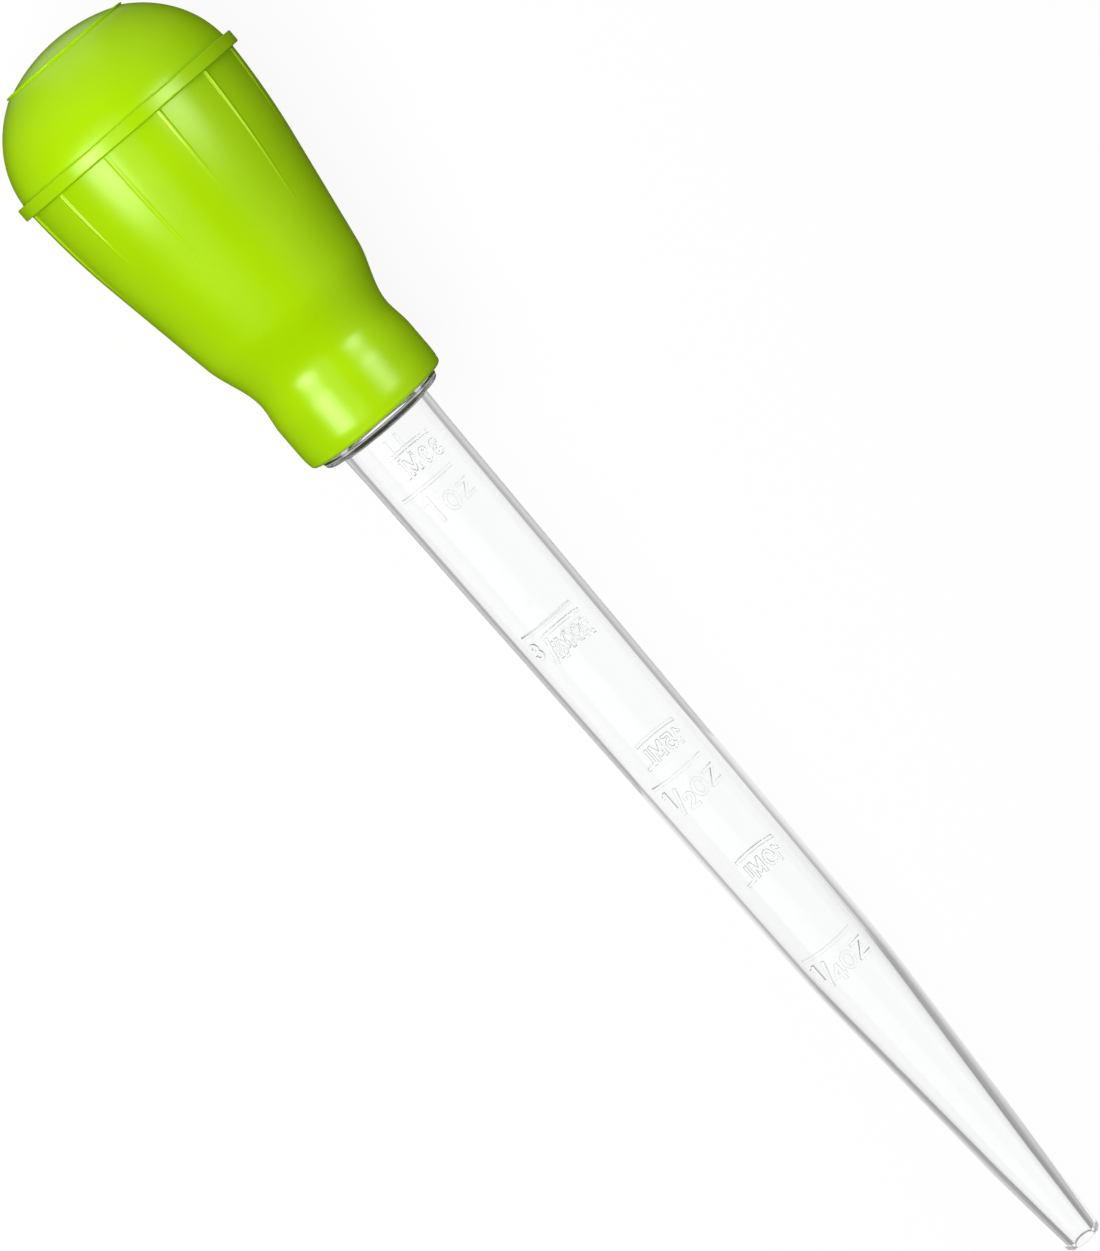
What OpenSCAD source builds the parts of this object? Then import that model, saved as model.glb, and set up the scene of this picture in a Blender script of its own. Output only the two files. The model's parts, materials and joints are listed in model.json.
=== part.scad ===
// A squeeze-bulb dropper pipette: a hollow soft bulb stretched over the collar of a clear,
// graduated tube. The pipette lies at rest on the bulb's ring and on the tube's tip, with the
// tip towards +X. Lengths along the pipette are measured from the top of the dome.

/* [Dome] */
// Height of the flat cap on top of the dome
cap_h = 2.2; // [1.5:0.1:5]
// Radius of the cap where it meets the moulding line
cap_r = 12.5; // [8:0.1:13]
// Thickness of the moulding line round the cap
lip_t = 0.6; // [0.4:0.1:1.2]
// Radius of the moulding line
lip_r = 14.1; // [13.8:0.1:15]
// Radius of the dome under the moulding line
dome_top_r = 13; // [12:0.1:13.7]
// Height of the dome from the moulding line to the middle of the ring
dome_h = 17.8; // [14:0.1:26]
// Radius of the bulb at the ring
belly_r = 24.45; // [22:0.05:25.4]

/* [Ring and ribs] */
// Radius of the grip ring
ring_r = 26; // [25.6:0.1:29]
// Width of the grip ring along the bulb
ring_w = 2.6; // [1.6:0.1:5]
// Number of ribs under the ring
rib_n = 12; // [6:2:16]
// Width of a rib
rib_w = 0.7; // [0.4:0.1:1.2]
// Height of a rib where it leaves the ring
rib_h = 0.45; // [0.2:0.05:0.9]
// Length of a long rib
rib_long = 30; // [20:0.5:38]
// Length of a short rib
rib_short = 19.5; // [10:0.5:30]
// Turn of the ribs round the bulb
rib_turn = 16; // [0:1:30]
// Depth of the flat that the soft ring takes where it rests
rest_flat = 0.15; // [0.1:0.05:0.3]

/* [Bulb body] */
// Wall of the bulb
bulb_wall = 2.5; // [2:0.1:3.2]
// Length of the belly from the ring to the start of the taper
belly_l = 19.5; // [14:0.5:26]
// Radius at the start of the taper
taper_top_r = 22.5; // [21:0.1:24]
// Length of the straight taper
taper_l = 23; // [16:0.5:34]
// Radius at the end of the taper
taper_end_r = 18.65; // [17.5:0.05:20.5]
// Length of the curve from the taper to the waist
hip_l = 12; // [8:0.1:16]
// Radius of the waist
waist_r = 15.4; // [15:0.1:16.1]
// Length of the flare from the waist to the neck
flare_l = 6; // [4.5:0.1:9]
// Radius of the neck, stretched over the collar
neck_r = 16; // [15.8:0.1:18]
// Length of the neck from the flare to the mouth
neck_l = 9.6; // [8:0.1:16]
// Rounding of the mouth's outer edge
mouth_round = 1; // [0.5:0.1:1.8]

/* [Collar of the tube] */
// Radius of the collar that fills the neck
collar_r = 13.7; // [13.4:0.05:14.2]
// Length of the collar inside the neck
collar_grip = 13; // [10.5:0.1:15]
// Height of the shoulder that stands out of the mouth
shoulder_h = 1.5; // [1.4:0.1:4]
// Thickness of the shoulder's floor
shoulder_t = 1.6; // [1.2:0.1:2.4]
// Wall of the collar
collar_wall = 1.6; // [1.2:0.1:2.2]
// Rounding of the shoulder's outer edge
shoulder_round = 1.3; // [0.5:0.1:1.4]
// Clearance between the neck and the collar
fit_gap = 0.03; // [0.02:0.01:0.1]

/* [Barrel and tip] */
// Length of the barrel from the shoulder to the nose
barrel_l = 139.5; // [120:0.5:160]
// Radius of the barrel at the shoulder
barrel_top_r = 10.15; // [9.6:0.05:10.8]
// Radius of the barrel at the nose
barrel_end_r = 8.5; // [7.6:0.05:9.2]
// Wall of the barrel
barrel_wall = 1.55; // [1.2:0.05:2]
// Length of the conical nose
nose_l = 71.4; // [50:0.1:90]
// Length of the curve that joins barrel and nose
nose_blend = 12; // [6:1:20]
// Outer radius of the tip
tip_r = 4; // [3.8:0.05:5]
// Rounding of the tip's outer edge
tip_round = 0.8; // [0.4:0.1:1]
// Radius of the outlet
outlet_r = 2.2; // [1.5:0.05:2.6]
// Length of the parallel outlet
outlet_l = 4; // [3:0.5:10]

/* [Graduations] */
// Distance of each ounce line below the shoulder
oz_lines = [13.1, 47.5, 85.9, 130.6]; // [5:0.1:135]
// Distance of each millilitre line below the shoulder
ml_lines = [7, 52, 80.1, 110.3]; // [5:0.1:135]
// Length of an ounce line round the barrel
oz_line_l = 12.3; // [8:0.1:16]
// Length of a millilitre line round the barrel
ml_line_l = 11.4; // [6:0.1:14]
// Width of a graduation line
line_w = 0.85; // [0.5:0.05:1.2]
// Height of a graduation line above the barrel
line_h = 0.25; // [0.15:0.05:0.4]
// Turn of the graduations round the tube
scale_turn = -8; // [-30:1:30]

/* [Hidden] */
$fn = 96;

// Stations along the axis
lip_top_u = cap_h;
lip_end_u = lip_top_u + lip_t;
ring_mid_u = lip_end_u + dome_h;
ring_top_u = ring_mid_u - ring_w / 2;
ring_end_u = ring_mid_u + ring_w / 2;
taper_top_u = ring_end_u + belly_l;
taper_end_u = taper_top_u + taper_l;
waist_u = taper_end_u + hip_l;
neck_u = waist_u + flare_l;
mouth_u = neck_u + neck_l;
collar_top_u = mouth_u - collar_grip;
shoulder_u = mouth_u + shoulder_h;
nose_u = shoulder_u + barrel_l;
tip_u = nose_u + nose_l;

// Slopes of the outlines, as change of radius along the axis
taper_slope = (taper_end_r - taper_top_r) / taper_l;
barrel_slope = (barrel_end_r - barrel_top_r) / barrel_l;
nose_slope = (tip_r - barrel_end_r) / nose_l;
belly_slope = -0.04;

// Steps in a curved stretch of an outline
CURVE_STEPS = 12;
DOME_STEPS = 20;
ROUND_STEPS = 8;
// How far a raised line or rib is sunk into its wall
ROOT = 0.5;
// How far under the surface a rib ends
RIB_END_SUNK = 0.15;
// Rounding between shoulder and barrel
BARREL_ROOT_R = 0.6;
// Bevel that leads the collar into the neck
LEAD_IN = 0.6;

// Points [u, r] of a smooth curve between two stations [u, r, slope]
function span(p, q, n = CURVE_STEPS) =
    [for (i = [0 : n]) let (t = i / n, w = q[0] - p[0])
        [p[0] + t * w,
         (1 + 2 * t) * pow(1 - t, 2) * p[1] + t * pow(1 - t, 2) * w * p[2]
         + pow(t, 2) * (3 - 2 * t) * q[1] + pow(t, 2) * (t - 1) * w * q[2]]];

// Points [u, r] of an ellipse's arc, with its half axes along u and r
function arc(centre, half_u, half_r, from, to, n = ROUND_STEPS) =
    [for (i = [0 : n]) let (a = from + (to - from) * i / n)
        [centre[0] + half_u * cos(a), centre[1] + half_r * sin(a)]];

// Moves an outline towards the axis
function inset(points, by) = [for (p = points) [p[0], p[1] - by]];

// An outline from its far end to its start
function back(points) = [for (i = [len(points) - 1 : -1 : 0]) points[i]];

// The dome's half ellipse ends on the moulding line at one side and the ring's middle at the other
dome_half_u = dome_h / sqrt(1 - pow(dome_top_r / belly_r, 2));
dome_start = 180 - asin(dome_top_r / belly_r);
cap_ball_r = (pow(cap_r, 2) + pow(cap_h, 2)) / (2 * cap_h);

// Outer curve of the bulb from under the ring to the waist
belly_curve = span([ring_end_u, belly_r, belly_slope], [taper_top_u, taper_top_r, taper_slope]);
hip_curve = span([taper_end_u, taper_end_r, taper_slope], [waist_u, waist_r, 0]);
flare_curve = span([waist_u, waist_r, 0], [neck_u, neck_r, 0]);

// Radius of the belly and taper at a station, for what stands on them
function body_r(u) = u < taper_top_u ? lookup(u, belly_curve)
    : taper_top_r + taper_slope * (u - taper_top_u);

// Radius of the barrel at a station
function barrel_r(u) = barrel_top_r + barrel_slope * (u - shoulder_u);

// The tilt at which the ring's lower edge and the rounded tip touch the same plane
rest_drop = ring_r - (tip_r - tip_round);
rest_span = (tip_u - tip_round) - ring_end_u;
rest_tilt = acos((rest_flat + tip_round) / norm([rest_drop, rest_span])) - atan2(rest_span, rest_drop);
axis_z = ring_end_u * sin(rest_tilt) + ring_r * cos(rest_tilt) - rest_flat;
dome_x = cap_ball_r * (cos(rest_tilt) - 1);
tip_x = tip_u * cos(rest_tilt) + (tip_r - tip_round) * sin(rest_tilt);

// Turns a profile [u, r] about the axis
module turned(profile) {
    rotate_extrude() polygon([for (p = profile) [p[1], p[0]]]);
}

// Lays an upright piece down in its place of rest; its -X side comes to the top
module laid() {
    translate([-(dome_x + tip_x) / 2, 0, axis_z]) rotate([0, 90 + rest_tilt, 0]) children();
}

// One rib, straight out from the axis. It starts inside the ring and sinks into the body at its end
module rib(length) {
    top = [for (i = [0 : CURVE_STEPS]) let (t = i / CURVE_STEPS, u = ring_mid_u + t * (length + ring_w / 2))
        [body_r(max(u, ring_end_u)) + rib_h - (rib_h + RIB_END_SUNK) * t, u]];
    foot = [[body_r(ring_end_u + length) - ROOT, ring_end_u + length], [body_r(ring_end_u) - 3 * ROOT, ring_mid_u]];
    rotate([90, 0, 0]) linear_extrude(rib_w, center = true) polygon(concat(top, foot));
}

// The bulb's wall: outer outline down to the mouth, then the chamber's outline back up
module bulb_wall_turned() {
    turned(concat(
        arc([cap_ball_r, 0], cap_ball_r, cap_ball_r, 180, 180 - asin(cap_r / cap_ball_r)),
        [[lip_top_u, lip_r], [lip_end_u, lip_r]],
        arc([ring_mid_u, 0], dome_half_u, belly_r, dome_start, 90 + asin(ring_w / 2 / dome_half_u), DOME_STEPS),
        [[ring_top_u, ring_r], [ring_end_u, ring_r]],
        belly_curve, hip_curve, flare_curve,
        arc([mouth_u - mouth_round, neck_r - mouth_round], mouth_round, mouth_round, 90, 0),
        [[mouth_u, collar_r + fit_gap], [collar_top_u, collar_r + fit_gap],
         [collar_top_u, waist_r - bulb_wall]],
        inset(back(hip_curve), bulb_wall),
        inset(back(belly_curve), bulb_wall),
        arc([ring_mid_u, 0], dome_half_u - bulb_wall, belly_r - bulb_wall, 90, 180, DOME_STEPS)));
}

module bulb() {
    color([0.69, 0.9, 0.05]) difference() {
        laid() {
            bulb_wall_turned();
            for (i = [0 : rib_n - 1])
                rotate([0, 0, rib_turn + i * 360 / rib_n]) rib(i % 2 == 0 ? rib_long : rib_short);
        }
        // The plane that the soft ring rests on
        translate([-tip_u, -ring_r, -ring_r]) cube([2 * tip_u, 2 * ring_r, ring_r]);
    }
}

// A raised line round the barrel, at a distance below the shoulder and centred on a heading
module line_round(below, length, heading) {
    r = barrel_r(shoulder_u + below);
    sweep = length / r * 180 / PI;
    translate([0, 0, shoulder_u + below - line_w / 2]) rotate([0, 0, heading - sweep / 2])
        rotate_extrude(angle = sweep) translate([r - ROOT, 0]) square([ROOT + line_h, line_w]);
}

// The tube's wall: outer outline down to the tip, then the bore's outline back up
module tube_wall_turned() {
    blend_u = nose_blend / 2;
    bore_end_r = barrel_end_r - barrel_wall;
    turned(concat(
        [[collar_top_u, collar_r - LEAD_IN], [collar_top_u + LEAD_IN, collar_r]],
        arc([shoulder_u - shoulder_round, collar_r - shoulder_round], shoulder_round, shoulder_round, 90, 0),
        arc([shoulder_u + BARREL_ROOT_R, barrel_top_r + BARREL_ROOT_R], BARREL_ROOT_R, BARREL_ROOT_R, 180, 270),
        span([nose_u - blend_u, barrel_r(nose_u - blend_u), barrel_slope],
             [nose_u + blend_u, barrel_end_r + nose_slope * blend_u, nose_slope]),
        arc([tip_u - tip_round, tip_r - tip_round], tip_round, tip_round, 90, 0),
        [[tip_u, outlet_r], [tip_u - outlet_l, outlet_r], [nose_u, bore_end_r]],
        [[shoulder_u, barrel_top_r - barrel_wall], [shoulder_u - shoulder_t, barrel_top_r - barrel_wall],
         [shoulder_u - shoulder_t, collar_r - collar_wall], [collar_top_u, collar_r - collar_wall]]));
}

module tube() {
    color([0.86, 0.92, 0.94, 0.45]) laid() {
        tube_wall_turned();
        for (below = oz_lines) line_round(below, oz_line_l, 180 - scale_turn);
        for (below = ml_lines) line_round(below, ml_line_l, -scale_turn);
    }
}

bulb();
tube();
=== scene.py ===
"""The look of a clear dropper pipette with a soft lime squeeze bulb, lying at rest on a table.

Sizes are in millimetres along the pipette's own line: a station is the distance from the end of
the bulb, a radius is the distance from the line, and an angle turns round it from the top. The
table, the lamps and the depths in finishes are in metres, as Blender's world is.
"""

import cmath
import json
import logging
import math
from dataclasses import dataclass, field
from enum import Enum

import bpy
import numpy as np
from mathutils import Matrix, Vector


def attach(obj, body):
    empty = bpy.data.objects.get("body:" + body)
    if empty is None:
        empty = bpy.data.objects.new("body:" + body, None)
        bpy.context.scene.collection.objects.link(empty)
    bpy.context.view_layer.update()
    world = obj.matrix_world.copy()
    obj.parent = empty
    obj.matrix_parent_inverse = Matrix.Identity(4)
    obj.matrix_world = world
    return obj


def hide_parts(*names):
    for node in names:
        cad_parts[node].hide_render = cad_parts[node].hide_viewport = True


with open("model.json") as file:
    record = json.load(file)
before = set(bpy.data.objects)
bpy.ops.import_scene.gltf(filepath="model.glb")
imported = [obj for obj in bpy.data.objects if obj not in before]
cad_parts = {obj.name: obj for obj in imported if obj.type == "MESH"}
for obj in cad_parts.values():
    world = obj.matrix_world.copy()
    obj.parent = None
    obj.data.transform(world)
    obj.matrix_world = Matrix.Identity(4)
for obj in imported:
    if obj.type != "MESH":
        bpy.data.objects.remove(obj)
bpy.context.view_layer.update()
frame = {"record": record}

MM = 0.001
BODY = "root"
# The attribute of how high a rib stands, from which the rubber paints a highlight on the ribs
RIB_HIGHLIGHT_ATTRIBUTE = "raised"
# The station of the outlet mount, in the middle of its bore
OUTLET_STATION = 302.4
WHITE = (1.0, 1.0, 1.0, 1.0)
# Counts of a ray's turns are whole, so they are compared with halves: past the first it has
# turned at least once, and past the second it goes straight on through the plastic
ONE_TURN = 0.5
KEPT_TURNS = 2.5
Array = np.ndarray
Pair = tuple[float, float]
Colour = tuple[float, float, float, float]
log = logging.getLogger("pipette")


class Edge(Enum):
    """How the end of a raised stroke is cut."""

    SQUARE = "square"
    ROUND = "round"


class Side(Enum):
    """Which side of the barrel a scale is on, as an angle from the top in degrees."""

    FRONT = -8.0
    BACK = 172.0


# ---------- Shader wiring ----------


@dataclass(frozen=True)
class Ramp:
    """A smooth change of level: from low to high as what is read goes from start to end."""

    start: float
    end: float
    low: float
    high: float


class Wire:
    """One output socket of a node, which can be used in arithmetic."""

    def __init__(self, tree: "NodeTree", socket: bpy.types.NodeSocket) -> None:
        """Keeps a node's output socket and the tree that it is in."""
        self.tree = tree
        self.socket = socket

    def __add__(self, other: "Wire | float") -> "Wire":
        """This value plus another."""
        return self.tree.maths("ADD", self, other)

    def __radd__(self, other: float) -> "Wire":
        """A number plus this value."""
        return self.tree.maths("ADD", other, self)

    def __sub__(self, other: "Wire | float") -> "Wire":
        """This value less another."""
        return self.tree.maths("SUBTRACT", self, other)

    def __rsub__(self, other: float) -> "Wire":
        """A number less this value."""
        return self.tree.maths("SUBTRACT", other, self)

    def __mul__(self, other: "Wire | float") -> "Wire":
        """This value times another."""
        return self.tree.maths("MULTIPLY", self, other)

    def __rmul__(self, other: float) -> "Wire":
        """A number times this value."""
        return self.tree.maths("MULTIPLY", other, self)

    def __gt__(self, other: "Wire | float") -> "Wire":
        """1 where this value is greater than the other, else 0."""
        return self.tree.maths("GREATER_THAN", self, other)

    def __lt__(self, other: "Wire | float") -> "Wire":
        """1 where this value is less than the other, else 0."""
        return self.tree.maths("LESS_THAN", self, other)

    def either(self, other: "Wire") -> "Wire":
        """The greater of two values, so two masks joined."""
        return self.tree.maths("MAXIMUM", self, other)


class NodeTree:
    """Builds the nodes of one material or world."""

    def __init__(self, owner: bpy.types.Material | bpy.types.World) -> None:
        """Empties the owner's tree.

        Args:
            owner: the material or world to build.
        """
        owner.use_nodes = True
        self.nodes = owner.node_tree.nodes
        self.links = owner.node_tree.links
        self.nodes.clear()

    def add(self, kind: str, sockets: dict, output: int | str = 0, **settings: str | bool) -> Wire:
        """Adds a node.

        Args:
            kind: the node's type.
            sockets: values or wires by input name or number.
            output: the output that the wire is taken from.
            settings: the node's own settings, set before its sockets.

        Returns:
            The wire of that output.
        """
        node = self.nodes.new(kind)
        for name, value in settings.items():
            setattr(node, name, value)
        for key, value in sockets.items():
            if isinstance(value, Wire):
                self.links.new(value.socket, node.inputs[key])
            else:
                node.inputs[key].default_value = value
        return Wire(self, node.outputs[output])

    def maths(self, operation: str, left: Wire | float, right: Wire | float) -> Wire:
        """A Math node on two values."""
        return self.add("ShaderNodeMath", {0: left, 1: right}, operation=operation)

    def ease(self, value: Wire, ramp: Ramp) -> Wire:
        """The level that a ramp gives for a value."""
        sockets = {0: value, 1: ramp.start, 2: ramp.end, 3: ramp.low, 4: ramp.high}
        return self.add("ShaderNodeMapRange", sockets, interpolation_type="SMOOTHSTEP")

    def pick(self, share: Wire, low: Wire, high: Wire | float) -> Wire:
        """The low value where the share is 0, and the high one where it is 1."""
        return low + (high - low) * share

    def blend(self, share: Wire, first: Colour | Wire, second: Colour | Wire) -> Wire:
        """The first colour where the share is 0, and the second where it is 1."""
        sockets = {0: share, 6: first, 7: second}
        return self.add("ShaderNodeMix", sockets, 2, data_type="RGBA", clamp_factor=True)

    def ray(self, fact: str) -> Wire:
        """A fact about the ray that sees the surface, by its name in Light Path."""
        return self.add("ShaderNodeLightPath", {}, fact)

    def part(self, vector: Wire, axis: str) -> Wire:
        """One part of a vector."""
        return self.add("ShaderNodeSeparateXYZ", {0: vector}, axis)

    def noise(self, scale: float, detail: float, roughness: float = 0.5) -> Wire:
        """Noise that keeps its place on the object.

        Args:
            scale: how many patches fit in a metre.
            detail: how many finer layers it has.
            roughness: how strong the finer layers are.

        Returns:
            A level from 0 to 1.
        """
        place = self.add("ShaderNodeTexCoord", {}, "Object")
        sockets = {"Vector": place, "Scale": scale, "Detail": detail, "Roughness": roughness}
        return self.add("ShaderNodeTexNoise", sockets)

    def bump(self, height: Wire, depth: float, strength: float) -> Wire:
        """The normal of a surface that is raised by up to this depth in metres."""
        sockets = {"Strength": strength, "Distance": depth, "Height": height}
        return self.add("ShaderNodeBump", sockets)

    def mix(self, share: Wire, first: Wire, second: Wire) -> Wire:
        """The first shader where the share is 0, and the second where it is 1."""
        return self.add("ShaderNodeMixShader", {0: share, 1: first, 2: second})

    def finish(self, kind: str, shader: Wire) -> None:
        """Joins a shader to a new output node of this type."""
        node = self.nodes.new(kind)
        self.links.new(shader.socket, node.inputs["Surface"])


# ---------- Finishes ----------


@dataclass(frozen=True)
class SoftRubber:
    """Satin moulded rubber: two near tones, a paler colour painted on raised ribs as a highlight, and a
    very fine grain.
    """

    name: str = "lime_rubber"
    colour: Colour = (0.445, 0.785, 0.0004, 1.0)
    deep: Colour = (0.425, 0.758, 0.0002, 1.0)
    # A painted highlight: the paler colour that raised ribs take, for the light that they catch
    pale: Colour = (0.530, 0.895, 0.0060, 1.0)
    roughness: float = 0.19
    roughness_change: float = 0.05
    specular: float = 0.4
    index: float = 1.5
    mottle_scale: float = 48.0
    mottle_roughness: float = 0.55
    patches: Ramp = Ramp(0.35, 0.65, 0.0, 1.0)
    grain_scale: float = 1500.0
    grain_depth: float = 0.00004
    grain_strength: float = 0.35

    def build(self) -> bpy.types.Material:
        """Makes the material.

        Returns:
            The rubber.
        """
        material = bpy.data.materials.new(self.name)
        tree = NodeTree(material)
        mottle = tree.noise(self.mottle_scale, detail=3.0, roughness=self.mottle_roughness)
        grain = tree.noise(self.grain_scale, detail=2.0)
        # Painted highlight: the paler colour is mixed in as far as a rib is raised
        raised = tree.add("ShaderNodeAttribute", {}, "Fac", attribute_name=RIB_HIGHLIGHT_ATTRIBUTE)
        plain = tree.blend(tree.ease(mottle, self.patches), self.colour, self.deep)
        sockets = {
            "Base Color": tree.blend(raised, plain, self.pale),
            "Roughness": self.roughness + self.roughness_change * grain,
            "Normal": tree.bump(grain, self.grain_depth, self.grain_strength),
            "IOR": self.index,
            "Specular IOR Level": self.specular,
        }
        tree.finish("ShaderNodeOutputMaterial", tree.add("ShaderNodeBsdfPrincipled", sockets))
        return material


@dataclass(frozen=True)
class ClearPlastic:
    """Glass-clear moulded plastic, with the faint waves that moulding leaves.

    Lamps and soft light pass it straight, dimmed a little, so its shadow stays light. So does
    light that has been turned inside it more than twice.
    """

    name: str
    colour: Colour
    roughness: float
    wave_depth: float = 0.0
    wave_scale: float = 140.0
    shade: Colour = (0.93, 0.94, 0.94, 1.0)
    gloss: Colour = (0.45, 0.45, 0.45, 1.0)
    index: float = 1.5
    haze_scale: float = 420.0
    haze_least: float = 0.6
    haze_change: float = 0.8

    def build(self) -> bpy.types.Material:
        """Makes the material.

        Returns:
            The plastic.
        """
        material = bpy.data.materials.new(self.name)
        tree = NodeTree(material)
        waves = tree.noise(self.wave_scale, detail=1.0)
        haze = tree.noise(self.haze_scale, detail=2.0)
        sockets = {
            "Base Color": self.colour,
            "Roughness": self.roughness * (self.haze_least + self.haze_change * haze),
            "Normal": tree.bump(waves, self.wave_depth, 1.0),
            "IOR": self.index,
            "Transmission Weight": 1.0,
            "Specular Tint": self.gloss,
        }
        surface = tree.add("ShaderNodeBsdfPrincipled", sockets)
        through = tree.add("ShaderNodeBsdfTransparent", {"Color": self.shade})
        trapped = tree.ray("Glossy Depth") > KEPT_TURNS
        passing = tree.ray("Is Shadow Ray").either(tree.ray("Is Diffuse Ray")).either(trapped)
        tree.finish("ShaderNodeOutputMaterial", tree.mix(passing, surface, through))
        return material


@dataclass(frozen=True)
class PaleTable:
    """The white surface under the pipette. It keeps part of its shading, so the shadow shows.

    What glass turns away from its straight way sees the room in its place, and so does the
    bulb's gloss, as if dark cards lay round it: behind its end, at both sides and far away.
    """

    name: str = "pale_table"
    bounce: Colour = (0.40, 0.40, 0.40, 1.0)
    own_light: float = 0.92
    end_card: Ramp = Ramp(-0.058, -0.050, 1.0, 0.0)
    card_side: float = 0.016
    card_reach: float = 0.03
    card_far: float = 0.15

    def build(self) -> bpy.types.Material:
        """Makes the material.

        Returns:
            The table's finish.
        """
        material = bpy.data.materials.new(self.name)
        tree = NodeTree(material)
        seen = tree.ray("Is Camera Ray").either(tree.ray("Is Glossy Ray"))
        seen = seen.either(tree.ray("Is Transmission Ray"))
        shaded = tree.add("ShaderNodeBsdfDiffuse", {"Color": tree.blend(seen, self.bounce, WHITE)})
        lit = tree.add("ShaderNodeEmission", {"Color": WHITE, "Strength": 1.0})
        table = tree.mix(seen * self.own_light, shaded, lit)
        place = tree.add("ShaderNodeNewGeometry", {}, "Position")
        along = tree.part(place, "X")
        aside = tree.part(place, "Y")
        beside = (aside * aside > self.card_side**2) * (along < self.card_reach)
        beside = beside.either(aside * aside > self.card_far**2)
        card = tree.ease(along, self.end_card).either(beside)
        inner = tree.ray("Transmission Depth") > ONE_TURN
        turned = tree.ray("Glossy Depth") > ONE_TURN
        gap = tree.add("ShaderNodeBsdfTransparent", {})
        tree.finish("ShaderNodeOutputMaterial", tree.mix(turned * inner.either(card), table, gap))
        return material


@dataclass(frozen=True)
class PaleRoom:
    """The room: white where it is seen straight, and shaded where gloss and glass turn to it.

    Its levels change with the way that is looked: x towards the tip, y sideways and z up. Those
    from below to above make the grey edges and the pale middle of the tube, and after_turns is
    what a ray sees past many turns. The sheen is the bulb's gloss, and the light is soft light.
    """

    name: str = "pale_room"
    below: Ramp = Ramp(-0.97, -0.78, 0.74, 0.49)
    below_tipwards: Ramp = Ramp(0.15, 0.24, 1.0, 0.69)
    low: Ramp = Ramp(-0.72, -0.62, 0.0, 0.50)
    low_tipwards: Ramp = Ramp(0.18, 0.26, 1.0, 0.0)
    sky: Ramp = Ramp(-0.06, 0.08, 0.1, 2.4)
    sky_end: Ramp = Ramp(0.86, 0.99, 1.0, 0.2)
    above: Ramp = Ramp(0.15, 0.35, 0.0, 1.0)
    after_turns: Ramp = Ramp(-0.85, -0.55, 0.95, 0.45)
    sheen: Ramp = Ramp(-0.80, -0.30, 0.8, 0.04)
    sheen_aside: Ramp = Ramp(0.02, 0.14, 1.0, 0.15)
    sheen_up: Ramp = Ramp(0.0, 0.40, 1.0, 0.10)
    light_aside: Ramp = Ramp(0.2, 0.9, 0.04, 0.60)
    light_behind: Ramp = Ramp(-0.95, -0.40, 0.90, 0.0)

    def build(self) -> bpy.types.World:
        """Makes the world.

        Returns:
            The room.
        """
        world = bpy.data.worlds.new(self.name)
        tree = NodeTree(world)
        way = tree.add("ShaderNodeTexCoord", {}, "Generated")
        x, y, z = (tree.part(way, axis) for axis in "XYZ")
        turned = tree.ray("Glossy Depth") > ONE_TURN
        inner = tree.ray("Transmission Depth") > ONE_TURN
        straight = tree.ray("Is Camera Ray").either(tree.ray("Is Transmission Ray")) * (1 - turned)
        under = tree.ease(z, self.below) * tree.ease(x, self.below_tipwards)
        under = under + tree.ease(z, self.low) * tree.ease(x, self.low_tipwards)
        sky = tree.ease(y, self.sky) * tree.ease(y, self.sky_end)
        inside = tree.pick(tree.ease(z, self.above), under, sky)
        often = tree.ray("Glossy Depth") > KEPT_TURNS
        inside = tree.pick(often, inside, tree.ease(z, self.after_turns))
        sheen = tree.ease(x, self.sheen) * tree.ease(z, self.sheen_up)
        sheen = sheen * tree.ease(y * y, self.sheen_aside)
        light = tree.ease(y, self.light_aside) + tree.ease(x, self.light_behind)
        gloss = tree.pick(inner, sheen, inside)
        level = tree.pick(straight, tree.pick(turned, light, gloss), 1.0)
        shader = tree.add("ShaderNodeBackground", {"Color": WHITE, "Strength": level})
        tree.finish("ShaderNodeOutputWorld", shader)
        return world


# The bulb's inside is painted this darker, greyer green: painted shade where little light comes
INSIDE_PAINTED_SHADE = (0.42, 0.50, 0.30, 1.0)
OUTER_RUBBER = SoftRubber()
SHADED_INNER_RUBBER = SoftRubber("shaded_rubber", INSIDE_PAINTED_SHADE, INSIDE_PAINTED_SHADE, roughness=0.5)
CLEAR = ClearPlastic("clear_plastic", (0.995, 0.998, 0.998, 1.0), 0.02, wave_depth=0.004 * MM)
# The marks' flanks: matt, and tinted grey as painted shade for their darker outlines
FLANK = ClearPlastic("matt_shaded_flank", (0.78, 0.79, 0.80, 1.0), 0.24)
# The shoulder's round edge: clear plastic tinted a darker lavender grey, as painted shade
SHADED_RIM = ClearPlastic("painted_shade_rim", (0.48, 0.45, 0.53, 1.0), 0.10)


# ---------- Shapes turned round the pipette's line ----------


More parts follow.
